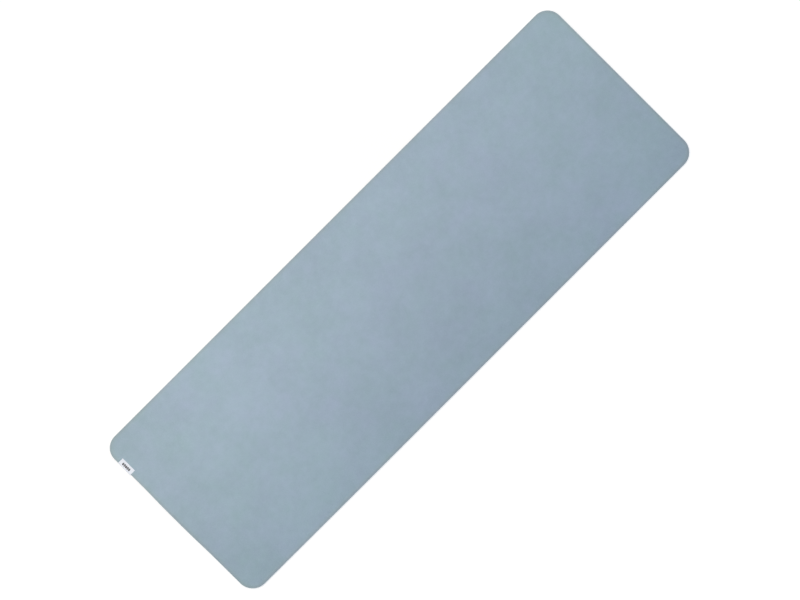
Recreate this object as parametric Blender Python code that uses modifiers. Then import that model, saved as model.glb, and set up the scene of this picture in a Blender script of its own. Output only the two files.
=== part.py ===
"""A yoga mat that lies flat, with a woven label folded round one end and stitched through.

The mat is a laminate of two closed-cell foam sheets bonded to a reinforcing scrim. Lengths are in
metres and +Z is up. The mat rests on z = 0 with its length along X and its width along Y, and the
origin is the centre of its underside. The label and its stitching are modelled in a frame of their
own, whose origin is on the mat's -X edge, in the plane of the underside, at the label's middle.
"""

import math

import bmesh
import bpy
from mathutils import Matrix, Vector

# The mat
MAT_LENGTH = 1.820
MAT_WIDTH = 0.610
CORNER_RADIUS = 0.050
TOP_LAYER_THICKNESS = 0.0020
BASE_LAYER_THICKNESS = 0.0021
SCRIM_THICKNESS = 0.0003
BOND_GAP = 0.0003
RIM_ROUNDING = 0.0005

# The woven label
LABEL_LENGTH = 0.050
LABEL_REACH = 0.017
LABEL_THICKNESS = 0.00035
LABEL_FROM_CORNER = 0.0115
LABEL_SEAT_GAP = 0.00025
LABEL_FOLD_SLACK = 0.0008
RECESS_SHOULDER = 0.0012

# The lockstitch that holds it
THREAD_DIAMETER = 0.0003
THREAD_CLEARANCE = 0.00012
THREAD_TAIL = 0.0015
STITCH_LENGTH = 0.0045
STITCH_MARGIN = 0.0025
STITCH_INSET = 0.0030
STITCH_SINK = 0.00008

# Cutters run this far past what they cut
CUT_OVERRUN = 0.0020

# Counts of facets
CORNER_SEGMENTS = 16
RIM_SEGMENTS = 2
FOLD_SEGMENTS = 16
HOLE_SEGMENTS = 12
BEND_SEGMENTS = 3
THREAD_BEVEL_RESOLUTION = 2

# A bevel's profile is a circular arc at this share of its range
ROUND_PROFILE_SHARE = 0.5

# Heights that follow from the sizes above
SCRIM_BOTTOM = BASE_LAYER_THICKNESS + BOND_GAP
TOP_LAYER_BOTTOM = SCRIM_BOTTOM + SCRIM_THICKNESS + BOND_GAP
MAT_THICKNESS = TOP_LAYER_BOTTOM + TOP_LAYER_THICKNESS
MID_HEIGHT = MAT_THICKNESS / 2
THREAD_RADIUS = THREAD_DIAMETER / 2
RECESS_DEPTH = LABEL_SEAT_GAP + LABEL_THICKNESS + THREAD_CLEARANCE + THREAD_DIAMETER + STITCH_SINK

# The label's middle surface, from the mat's mid height out to either leaf
LEAF_OFFSET = MID_HEIGHT - RECESS_DEPTH + LABEL_SEAT_GAP + LABEL_THICKNESS / 2

# The stitch row, whose pitch divides the label's length into whole stitches
STITCH_ROW_LENGTH = LABEL_LENGTH - 2 * STITCH_MARGIN
STITCH_COUNT = max(1, round(STITCH_ROW_LENGTH / STITCH_LENGTH))
STITCH_PITCH = STITCH_ROW_LENGTH / STITCH_COUNT
STITCH_ROW_X = LABEL_REACH - STITCH_INSET
LOOP_RADIUS = THREAD_DIAMETER + THREAD_CLEARANCE
BEND_RADIUS = THREAD_DIAMETER
NEEDLE_HOLE_RADIUS = LOOP_RADIUS + THREAD_RADIUS + THREAD_CLEARANCE

# Directions in the label's frame
ACROSS_ROW = Vector((1, 0, 0))
ALONG_ROW = Vector((0, 1, 0))
UP = Vector((0, 0, 1))


def clear_scene():
    """Removes whatever the open file holds."""
    for thing in list(bpy.data.objects):
        bpy.data.objects.remove(thing)
    for collection in list(bpy.data.collections):
        bpy.data.collections.remove(collection)


def new_collection(name):
    collection = bpy.data.collections.new(name)
    bpy.context.scene.collection.children.link(collection)
    return collection


def new_material(name, colour, roughness):
    """A Principled material, with its colour in linear light."""
    material = bpy.data.materials.new(name)
    material.use_nodes = True
    material.diffuse_color = (*colour, 1)
    shader = material.node_tree.nodes["Principled BSDF"]
    shader.inputs["Base Color"].default_value = (*colour, 1)
    shader.inputs["Roughness"].default_value = roughness
    shader.inputs["Metallic"].default_value = 0
    return material


def top_foam_material():
    return new_material("top_foam", (0.317, 0.406, 0.481), 0.85)


def base_foam_material():
    return new_material("base_foam", (0.270, 0.352, 0.423), 0.90)


def scrim_material():
    return new_material("scrim_polyester", (0.620, 0.640, 0.640), 0.80)


def label_material():
    return new_material("label_satin", (0.830, 0.850, 0.870), 0.60)


def thread_material():
    return new_material("polyester_thread", (0.780, 0.800, 0.820), 0.55)


def add_object(name, data, collection, material=None, parent=None):
    """Links a mesh or a curve as a named object, placed by its parent if it has one."""
    thing = bpy.data.objects.new(name, data)
    collection.objects.link(thing)
    if material:
        data.materials.append(material)
    if parent:
        thing.parent = parent
    return thing


def add_cutter(name, mesh, collection, parent):
    cutter = add_object(name, mesh, collection, parent=parent)
    cutter.hide_render = True
    cutter.display_type = "WIRE"
    return cutter


def mesh_from(bm, name):
    mesh = bpy.data.meshes.new(name)
    bm.to_mesh(mesh)
    bm.free()
    return mesh


def shade_round(mesh):
    """Shades the rounded stretches smooth and leaves every face that is square to an axis flat."""
    for face in mesh.polygons:
        directions = [share for share in face.normal if round(share, 3)]
        face.use_smooth = len(directions) > 1


def add_boolean(thing, cutter):
    cut = thing.modifiers.new(cutter.name, "BOOLEAN")
    cut.operation = "DIFFERENCE"
    cut.solver = "EXACT"
    cut.object = cutter


def is_vertical(edge):
    start, end = (vertex.co for vertex in edge.verts)
    return abs(start.z - end.z) > abs(start.x - end.x) + abs(start.y - end.y)


def sheet_mesh(name, bottom, thickness):
    """A sheet with the mat's outline: a slab whose four upright edges are rounded to the corner radius."""
    slab = Matrix.Diagonal((MAT_LENGTH, MAT_WIDTH, thickness, 1))
    bm = bmesh.new()
    bmesh.ops.create_cube(bm, size=1, matrix=slab)
    bmesh.ops.translate(bm, verts=bm.verts, vec=(bottom + thickness / 2) * UP)
    bmesh.ops.bevel(
        bm,
        geom=[edge for edge in bm.edges if is_vertical(edge)],
        offset=CORNER_RADIUS,
        offset_type="OFFSET",
        segments=CORNER_SEGMENTS,
        profile=ROUND_PROFILE_SHARE,
        affect="EDGES",
    )
    return mesh_from(bm, name)


def weight_rim(mesh, middle, side):
    """Marks the rim of the upper (1) or lower (-1) face, for the Bevel modifier that rounds it."""
    weights = mesh.attributes.new("bevel_weight_edge", "FLOAT", "EDGE")
    for edge in mesh.edges:
        heights = [mesh.vertices[index].co.z for index in edge.vertices]
        in_face = all((height - middle) * side > 0 for height in heights)
        weights.data[edge.index].value = float(in_face)


def foam_layer(name, bottom, thickness, side, material, cutters, collection):
    """One foam sheet, with the rim of its outer face rounded, the recess pressed in and the holes made.

    side is 1 where the outer face is the upper one and -1 where it is the lower one.
    """
    mesh = sheet_mesh(name, bottom, thickness)
    weight_rim(mesh, bottom + thickness / 2, side)
    shade_round(mesh)
    layer = add_object(name, mesh, collection, material)
    rounding = layer.modifiers.new("rim_rounding", "BEVEL")
    rounding.limit_method = "WEIGHT"
    rounding.width = RIM_ROUNDING
    rounding.segments = RIM_SEGMENTS
    for cutter in cutters:
        add_boolean(layer, cutter)
    return layer


def reinforcing_scrim(needle_holes, collection):
    """The woven polyester sheet between the layers, cut flush with them."""
    mesh = sheet_mesh("reinforcing_scrim", SCRIM_BOTTOM, SCRIM_THICKNESS)
    shade_round(mesh)
    scrim = add_object("reinforcing_scrim", mesh, collection, scrim_material())
    add_boolean(scrim, needle_holes)
    return scrim


def label_place(collection):
    """The empty that carries the label, on the straight stretch of the -X edge past the +Y corner's arc."""
    place = bpy.data.objects.new("label_place", None)
    collection.objects.link(place)
    side = MAT_WIDTH / 2 - CORNER_RADIUS - LABEL_FROM_CORNER
    place.location = (-MAT_LENGTH / 2, side - LABEL_LENGTH / 2, 0)
    return place


def recess_cutter(name, side, collection, place):
    """Where the stitches pull one leaf of the label into the foam, on the side above (1) or below (-1).

    It is a slab with the leaf's outline on the recess's floor. From there out it flares, so that the
    foam slopes up to its face across the shoulder.
    """
    flare = RECESS_SHOULDER * (RECESS_DEPTH + CUT_OVERRUN) / RECESS_DEPTH
    length = LABEL_REACH + LABEL_SEAT_GAP + CUT_OVERRUN
    width = LABEL_LENGTH + 2 * LABEL_SEAT_GAP
    height = RECESS_DEPTH + CUT_OVERRUN
    bm = bmesh.new()
    bmesh.ops.create_cube(bm, size=1, matrix=Matrix.Diagonal((length, width, height, 1)))
    for corner in bm.verts:
        outward = math.copysign(flare, corner.co.y)
        inward = flare if corner.co.x > 0 else 0
        if corner.co.z * side > 0:
            corner.co += Vector((inward, outward, 0))
    floor_height = MID_HEIGHT + side * (MID_HEIGHT - RECESS_DEPTH)
    middle = Vector((length / 2 - CUT_OVERRUN, 0, floor_height + side * height / 2))
    bmesh.ops.translate(bm, verts=bm.verts, vec=middle)
    return add_cutter(name, mesh_from(bm, name), collection, place)


def needle_hole_cutter(collection, place):
    """One upright cylinder, repeated at the stitch pitch along the row."""
    height = MAT_THICKNESS + 2 * CUT_OVERRUN
    bm = bmesh.new()
    bmesh.ops.create_cone(
        bm,
        cap_ends=True,
        segments=HOLE_SEGMENTS,
        radius1=NEEDLE_HOLE_RADIUS,
        radius2=NEEDLE_HOLE_RADIUS,
        depth=height,
    )
    first = Vector((STITCH_ROW_X, -STITCH_ROW_LENGTH / 2, MID_HEIGHT))
    bmesh.ops.translate(bm, verts=bm.verts, vec=first)
    cutter = add_cutter("needle_holes", mesh_from(bm, "needle_holes"), collection, place)
    row = cutter.modifiers.new("row", "ARRAY")
    row.count = STITCH_COUNT + 1
    row.use_relative_offset = False
    row.use_constant_offset = True
    row.constant_offset_displace = STITCH_PITCH * ALONG_ROW
    return cutter


def label_profile():
    """The ribbon's middle line across the mat's edge: the top leaf, a half turn, and the lower leaf."""
    centre = Vector((-LABEL_FOLD_SLACK, 0, MID_HEIGHT))
    half_turn = []
    for step in range(FOLD_SEGMENTS + 1):
        angle = math.pi * step / FOLD_SEGMENTS
        half_turn.append(centre + LEAF_OFFSET * (math.cos(angle) * UP - math.sin(angle) * ACROSS_ROW))
    upper_end = Vector((LABEL_REACH, 0, MID_HEIGHT + LEAF_OFFSET))
    lower_end = Vector((LABEL_REACH, 0, MID_HEIGHT - LEAF_OFFSET))
    return [upper_end, *half_turn, lower_end]


def woven_label(needle_holes, collection, place):
    """A ribbon folded once round the mat's edge, as an extruded profile with Solidify."""
    bm = bmesh.new()
    line = [bm.verts.new(point - LABEL_LENGTH / 2 * ALONG_ROW) for point in label_profile()]
    edges = [bm.edges.new(pair) for pair in zip(line, line[1:])]
    swept = bmesh.ops.extrude_edge_only(bm, edges=edges)["geom"]
    moved = [item for item in swept if isinstance(item, bmesh.types.BMVert)]
    bmesh.ops.translate(bm, verts=moved, vec=LABEL_LENGTH * ALONG_ROW)
    bmesh.ops.recalc_face_normals(bm, faces=bm.faces)
    mesh = mesh_from(bm, "woven_label")
    shade_round(mesh)
    label = add_object("woven_label", mesh, collection, label_material(), place)
    ribbon = label.modifiers.new("ribbon", "SOLIDIFY")
    ribbon.thickness = LABEL_THICKNESS
    ribbon.offset = 0
    ribbon.use_even_offset = True
    add_boolean(label, needle_holes)
    return label


def arc(centre, start, turn, quarters):
    """Points from centre + start round to where start has turned towards turn by this many quarters."""
    steps = quarters * BEND_SEGMENTS
    points = []
    for step in range(steps + 1):
        angle = quarters * math.pi / 2 * step / steps
        points.append(centre + math.cos(angle) * start + math.sin(angle) * turn)
    return points


def stitch_points(hole, side, loop_axis):
    """One thread's way through one hole.

    The thread arrives along the row on its own side of the label, bends in, makes a half turn round
    the other thread at mid height, and comes out again to run on. side is +1 for the thread on top
    and -1 for the one below; loop_axis is the direction from the leg going in to the leg coming out.
    """
    out = side * UP
    run = MID_HEIGHT + side * (MID_HEIGHT - STITCH_SINK - THREAD_RADIUS)
    loop_height = MID_HEIGHT + side * LOOP_RADIUS / 2
    leg_in = hole - LOOP_RADIUS * loop_axis
    leg_out = hole + LOOP_RADIUS * loop_axis
    bend_height = (run - side * BEND_RADIUS) * UP
    bend_in = leg_in - BEND_RADIUS * ALONG_ROW + bend_height
    bend_out = leg_out + BEND_RADIUS * ALONG_ROW + bend_height
    loop = hole + loop_height * UP
    return [
        *arc(bend_in, BEND_RADIUS * out, BEND_RADIUS * ALONG_ROW, 1),
        *arc(loop, -LOOP_RADIUS * loop_axis, -LOOP_RADIUS * out, 2),
        *arc(bend_out, -BEND_RADIUS * ALONG_ROW, BEND_RADIUS * out, 1),
    ]


def thread_route(side, loop_axis):
    """The whole row's points, with a short trimmed tail at either end."""
    points = []
    for index in range(STITCH_COUNT + 1):
        along = index * STITCH_PITCH - STITCH_ROW_LENGTH / 2
        hole = STITCH_ROW_X * ACROSS_ROW + along * ALONG_ROW
        points += stitch_points(hole, side, loop_axis)
    first_tail = points[0] - THREAD_TAIL * ALONG_ROW
    last_tail = points[-1] + THREAD_TAIL * ALONG_ROW
    return [first_tail, *points, last_tail]


def thread(name, side, loop_axis, material, collection, place):
    """One unbroken tube along its route."""
    route = thread_route(side, loop_axis)
    curve = bpy.data.curves.new(name, "CURVE")
    curve.dimensions = "3D"
    curve.bevel_depth = THREAD_RADIUS
    curve.bevel_resolution = THREAD_BEVEL_RESOLUTION
    curve.use_fill_caps = True
    spline = curve.splines.new("POLY")
    spline.points.add(len(route) - 1)
    for point, place_on_route in zip(spline.points, route):
        point.co = (*place_on_route, 1)
    return add_object(name, curve, collection, material, place)


def build():
    clear_scene()
    parts = new_collection("yoga_mat")
    cutters = new_collection("cutters")
    place = label_place(parts)

    needle_holes = needle_hole_cutter(cutters, place)
    top_recess = recess_cutter("top_recess", 1, cutters, place)
    base_recess = recess_cutter("base_recess", -1, cutters, place)

    foam_layer(
        "base_layer",
        0,
        BASE_LAYER_THICKNESS,
        -1,
        base_foam_material(),
        (base_recess, needle_holes),
        parts,
    )
    reinforcing_scrim(needle_holes, parts)
    foam_layer(
        "top_layer",
        TOP_LAYER_BOTTOM,
        TOP_LAYER_THICKNESS,
        1,
        top_foam_material(),
        (top_recess, needle_holes),
        parts,
    )
    woven_label(needle_holes, parts, place)

    sewing = thread_material()
    thread("needle_thread", 1, ACROSS_ROW, sewing, parts, place)
    thread("bobbin_thread", -1, ALONG_ROW, sewing, parts, place)


build()
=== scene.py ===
"""Looks of the yoga mat: two foam sheets, the scrim between them and a label stitched on one end.

Lengths are in metres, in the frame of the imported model: +X along the mat, +Y across it, +Z up, with
the origin at the centre of the underside. Every size that the boxes of its nodes give is read from
them. An array of places has x and y on its last axis, and one of points has x, y and z.
"""

import logging
import math
from dataclasses import dataclass
from enum import Enum

import bpy
import numpy as np
from mathutils import Matrix, Vector


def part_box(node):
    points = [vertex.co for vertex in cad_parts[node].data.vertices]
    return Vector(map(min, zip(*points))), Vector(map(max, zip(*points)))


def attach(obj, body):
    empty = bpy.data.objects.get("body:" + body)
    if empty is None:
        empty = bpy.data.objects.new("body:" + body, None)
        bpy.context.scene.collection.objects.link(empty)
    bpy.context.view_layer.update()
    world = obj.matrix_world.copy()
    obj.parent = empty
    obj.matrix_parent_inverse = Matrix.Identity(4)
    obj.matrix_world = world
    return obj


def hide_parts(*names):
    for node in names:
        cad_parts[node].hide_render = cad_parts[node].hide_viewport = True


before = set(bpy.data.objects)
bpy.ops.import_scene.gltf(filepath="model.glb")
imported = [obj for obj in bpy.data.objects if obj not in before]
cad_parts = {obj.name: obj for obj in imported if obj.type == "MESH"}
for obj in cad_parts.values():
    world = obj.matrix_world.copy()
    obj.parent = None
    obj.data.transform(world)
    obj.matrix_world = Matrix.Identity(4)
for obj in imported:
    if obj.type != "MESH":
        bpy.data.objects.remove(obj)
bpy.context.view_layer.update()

LOG = logging.getLogger("yoga_mat")

Array = np.ndarray
Colour = tuple[float, float, float]
Point = tuple[float, float, float]
Pair = tuple[float, float]
Socket = bpy.types.NodeSocket
Material = bpy.types.Material
Piece = bpy.types.Object

TURN = 2.0 * math.pi
WHITE: Colour = (1.0, 1.0, 1.0)
FLIPPED_QUAD = [0, 3, 2, 1]
FLIPPED_TRIANGLE = [0, 2, 1]
RAMP_INPUTS = ("Value", "From Min", "From Max", "To Min", "To Max")
SPACING_SAMPLES = 20001
TINY = 1e-12


class Side(Enum):
    """Which way a face of the mat looks, as the sign of its height above the mat's middle."""

    UPPER = 1
    LOWER = -1


class Slot(Enum):
    """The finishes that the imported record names."""

    TOP_FOAM = "top_foam"
    BASE_FOAM = "base_foam"
    SCRIM = "scrim_polyester"
    LABEL = "label_satin"
    THREAD = "polyester_thread"


def smooth_step(share: Array) -> Array:
    """Eases from 0 to 1: three times the square less twice the cube, of the clipped share."""
    clipped = np.clip(share, 0.0, 1.0)
    return clipped * clipped * (3.0 - 2.0 * clipped)


def unit(rows: Array) -> Array:
    """Scales each row to a length of one."""
    return rows / np.linalg.norm(rows, axis=1, keepdims=True)


def shade(colour: Colour, share: float) -> Colour:
    """Returns a colour times a share."""
    return tuple(channel * share for channel in colour)


def grid_faces(number: Array) -> Array:
    """Joins a grid of vertex numbers into quads that face up where its rows run to +Y."""
    quads = np.stack([number[:-1, :-1], number[:-1, 1:], number[1:, 1:], number[1:, :-1]], axis=-1)
    return quads.reshape(-1, 4)


def ring_faces(rings: Array) -> Array:
    """Joins rings of vertex numbers, one in each row, into quads all the way round."""
    beside = np.roll(rings, -1, axis=1)
    return np.stack([rings[:-1], beside[:-1], beside[1:], rings[1:]], axis=-1).reshape(-1, 4)


def fan_faces(loop: Array) -> Array:
    """Joins a loop of vertex numbers into triangles that meet at its first."""
    return np.stack([np.full(len(loop) - 2, loop[0]), loop[1:-1], loop[2:]], axis=-1)


def border(number: Array) -> Array:
    """Returns the outermost vertex numbers of a grid, once round it."""
    return np.concatenate([number[0, :-1], number[:-1, -1], number[-1, :0:-1], number[:0:-1, 0]])


def mesh_piece(
    name: str,
    points: Array,
    faces: list[Array],
    finishes: list[Material],
    finish_of_face: Array | None = None,
) -> Piece:
    """Makes an object at the origin from whole arrays of points and faces.

    Args:
        name: The piece's name.
        points: One row for each vertex.
        faces: Arrays of vertex numbers, with one row for each face.
        finishes: The materials, in the order of their slots.
        finish_of_face: Each face's slot; the first one for all if left out.

    Returns:
        The new object, smooth shaded and in the scene.
    """
    mesh = bpy.data.meshes.new(name)
    mesh.from_pydata(points.tolist(), [], [face for part in faces for face in part.tolist()])
    for finish in finishes:
        mesh.materials.append(finish)
    if finish_of_face is not None:
        mesh.polygons.foreach_set("material_index", finish_of_face)
    mesh.polygons.foreach_set("use_smooth", np.ones(len(mesh.polygons), dtype=bool))
    mesh.update()
    piece = bpy.data.objects.new(name, mesh)
    bpy.context.scene.collection.objects.link(piece)
    return piece


def paint_uv(piece: Piece, places: Array) -> None:
    """Gives every vertex of a piece one UV place, in metres of the flat cloth.

    Args:
        piece: The mesh object.
        places: Each vertex's place across and along the cloth.
    """
    mesh = piece.data
    corners = np.empty(len(mesh.loops), dtype=np.int32)
    mesh.loops.foreach_get("vertex_index", corners)
    mesh.uv_layers.new(name="cloth").data.foreach_set("uv", places[corners].ravel())


def paint_number(piece: Piece, name: str, values: Array) -> None:
    """Gives every vertex of a piece one number, which its materials read by name."""
    layer = piece.data.attributes.new(name=name, type="FLOAT", domain="POINT")
    layer.data.foreach_set("value", values.astype(np.float32))


@dataclass(frozen=True)
class Focus:
    """A stretch where grid lines stand closer together."""

    low: float
    high: float
    step: float


def graded_lines(half: float, coarse: float, foci: list[Focus], growth: float = 0.08) -> Array:
    """Grid lines from -half to half that crowd together over each focus.

    The spacing is the smallest of the coarse one and, for each focus, its own step plus a share of
    the distance to it. The lines stand where the running sum of one over the spacing passes equal
    amounts.

    Args:
        half: The last line; the first is its negative.
        coarse: The spacing far from every focus.
        foci: The stretches with finer spacing.
        growth: How fast the spacing grows with the distance from a focus.

    Returns:
        The places of the lines, in rising order.
    """
    dense = np.linspace(-half, half, SPACING_SAMPLES)
    spacing = np.full_like(dense, coarse)
    for focus in foci:
        outside = np.maximum(np.maximum(focus.low - dense, dense - focus.high), 0.0)
        spacing = np.minimum(spacing, focus.step + growth * outside)
    between = (spacing[1:] + spacing[:-1]) / 2.0
    count = np.concatenate([[0.0], np.cumsum(np.diff(dense) / between)])
    return np.interp(np.linspace(0.0, count[-1], math.ceil(count[-1]) + 1), count, dense)


@dataclass(frozen=True)
class Patches:
    """Noise of one size: how broad, how strong, how many finer layers, and where it starts."""

    size: float
    weight: float
    detail: float = 2.0
    start: Point = (0.0, 0.0, 0.0)


class Graph:
    """The nodes of a material or a world, with one short method for each kind that is used."""

    def __init__(self, name: str, world: bool = False) -> None:
        """Starts a material or a world that holds only its output.

        Args:
            name: Its name.
            world: Whether it is a world.
        """
        kind, owners = ("World", bpy.data.worlds) if world else ("Material", bpy.data.materials)
        self.owner = owners.new(name)
        self.owner.use_nodes = True
        self.tree = self.owner.node_tree
        self.tree.nodes.clear()
        self.output = self.tree.nodes.new("ShaderNodeOutput" + kind)

    def node(self, kind: str, inputs: dict | None = None, **settings: object) -> bpy.types.Node:
        """Adds a node, sets its properties, and links or sets its inputs.

        Args:
            kind: The node's type in Blender, after the word ShaderNode.
            inputs: A socket to link or a constant to set, by the input's name or number.
            settings: Properties of the node itself.

        Returns:
            The new node.
        """
        node = self.tree.nodes.new("ShaderNode" + kind)
        for name, value in settings.items():
            setattr(node, name, value)
        for key, value in (inputs or {}).items():
            if isinstance(value, Socket):
                self.tree.links.new(value, node.inputs[key])
            else:
                node.inputs[key].default_value = value
        return node

    def place(self) -> Socket:
        """Returns the point on the surface, in the object's own metres."""
        return self.node("TexCoord").outputs["Object"]

    def axes(self, vector: Socket) -> tuple[Socket, ...]:
        """Returns a vector's X, Y and Z."""
        return tuple(self.node("SeparateXYZ", {"Vector": vector}).outputs)

    def cloth(self) -> tuple[Socket, ...]:
        """Returns the place across and the place along the cloth, in metres."""
        return self.axes(self.node("UVMap", uv_map="cloth").outputs["UV"])[:2]

    def painted(self, name: str) -> Socket:
        """Returns the number that the mesh holds under a name."""
        return self.node("Attribute", attribute_name=name).outputs["Fac"]

    def ramp(self, value: Socket, places: Pair, levels: Pair, easing: str = "LINEAR") -> Socket:
        """Returns a number that runs between two levels from one place to another."""
        inputs = dict(zip(RAMP_INPUTS, (value, *places, *levels)))
        return self.node("MapRange", inputs, interpolation_type=easing).outputs["Result"]

    def noise(self, place: Socket, size: float, detail: float = 2.0) -> Socket:
        """Returns noise from 0 to 1 whose patches are about this size."""
        inputs = {"Vector": place, "Scale": 1.0 / size, "Detail": detail}
        return self.node("TexNoise", inputs).outputs["Fac"]

    def patches(self, place: Socket, kind: Patches) -> tuple[Socket, float]:
        """Returns one kind of patches from 0 to 1, and its weight."""
        moved = self.vectors("ADD", place, kind.start)
        return self.noise(moved, kind.size, kind.detail), kind.weight

    def cells(self, place: Socket, size: float, roundness: float = 0.6) -> Socket:
        """Returns the distance from the middle of rounded cells of about this size."""
        inputs = {"Vector": place, "Scale": 1.0 / size, "Smoothness": roundness}
        return self.node("TexVoronoi", inputs, feature="SMOOTH_F1").outputs["Distance"]

    def maths(self, operation: str, *values: Socket | float) -> Socket:
        """Returns one Math node's result."""
        return self.node("Math", dict(enumerate(values)), operation=operation).outputs[0]

    def vectors(self, operation: str, *values: Socket | Point) -> Socket:
        """Returns one Vector Math node's vector."""
        return self.node("VectorMath", dict(enumerate(values)), operation=operation).outputs[0]

    def weigh(self, *terms: tuple[Socket, float]) -> Socket:
        """Adds to one half each value's departure from one half, times its weight.

        Args:
            terms: Pairs of a value from 0 to 1 and its weight.

        Returns:
            The sum.
        """
        total: Socket | float = 0.5 - sum(weight for _, weight in terms) / 2.0
        for value, weight in terms:
            total = self.maths("MULTIPLY_ADD", value, weight, total)
        return total

    def mix(
        self, share: Socket | float, low: Socket | Colour, high: Socket | Colour, way: str = "MIX"
    ) -> Socket:
        """Mixes two colours.

        Args:
            share: 0 for the low colour, 1 for the high one.
            low: The first colour, in linear light.
            high: The second.
            way: Blender's name for how they mix.

        Returns:
            The mixed colour.
        """
        low, high = (end if isinstance(end, Socket) else (*end, 1.0) for end in (low, high))
        inputs = {"Factor": share, "A": low, "B": high}
        return self.node("Mix", inputs, data_type="RGBA", blend_type=way).outputs["Result"]

    def tones(self, share: Socket, colour: Colour, low: float, high: float = 1.0) -> Socket:
        """Returns a colour whose strength runs between two shares of its own."""
        return self.mix(share, shade(colour, low), shade(colour, high))

    def tint(self, share: Socket, base: Socket, low: Colour, high: Colour) -> Socket:
        """Returns a colour multiplied by another that runs between two."""
        return self.mix(1.0, base, self.mix(share, low, high), "MULTIPLY")

    def ripple(self, turn: Socket) -> Socket:
        """Returns an angle's cosine, brought between 0 and 1."""
        return self.maths("MULTIPLY_ADD", self.maths("COSINE", turn), 0.5, 0.5)

    def wave(self, value: Socket, length: float, crest: float) -> Socket:
        """Returns a ripple between 0 and 1, from its length and the place of one crest."""
        from_crest = self.maths("SUBTRACT", value, crest)
        return self.ripple(self.maths("MULTIPLY", from_crest, TURN / length))

    def bump(self, height: Socket, depth: float, under: Socket | None = None) -> Socket:
        """Returns a normal bent by a height from 0 to 1, over a coarser bump's if there is one."""
        inputs = {"Height": height, "Distance": depth, "Strength": 1.0}
        return self.node("Bump", inputs if under is None else inputs | {"Normal": under}).outputs[0]

    def lens_rays(self) -> Socket:
        """Adds a switch for rays from the lens.

        Returns:
            1 for rays that come straight, mirrored or through glass, and 0 for the others.
        """
        rays = self.node("LightPath").outputs
        seen = self.maths("MAXIMUM", rays["Is Camera Ray"], rays["Is Glossy Ray"])
        return self.maths("MAXIMUM", seen, rays["Is Transmission Ray"])

    def surface(self, shader: bpy.types.Node) -> Material | bpy.types.World:
        """Puts a shader on the output, and returns the finished material or world."""
        self.tree.links.new(shader.outputs[0], self.output.inputs["Surface"])
        return self.owner

    def finish(self, **inputs: object) -> Material:
        """Returns the finished material, from the shader's inputs with underscores for spaces."""
        named = {key.replace("_", " "): value for key, value in inputs.items()}
        return self.surface(self.node("BsdfPrincipled", named))


@dataclass(frozen=True)
class Ribs:
    """Wavy anti-slip ribs: a cosine along the mat whose phase sways with a sine across it."""

    pitch: float = 0.0145
    sway: float = 0.0050
    wave: float = 0.061
    depth: float = 0.00045

    def groove(self, x: Array, y: Array) -> Array:
        """Returns the share of the grooves' depth: 0 on a rib's crest and 1 between two."""
        swayed = x + self.sway * np.sin(TURN * y / self.wave)
        return 0.5 - 0.5 * np.cos(TURN * swayed / self.pitch)

    def groove_socket(self, graph: Graph) -> Socket:
        """Works out the same share inside a material.

        Args:
            graph: The material's nodes.

        Returns:
            0 on a crest and 1 between two.
        """
        x, y, _ = graph.axes(graph.place())
        turn = graph.maths("MULTIPLY", y, TURN / self.wave)
        swayed = graph.maths("MULTIPLY_ADD", graph.maths("SINE", turn), self.sway, x)
        return graph.wave(swayed, self.pitch, self.pitch / 2.0)


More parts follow.
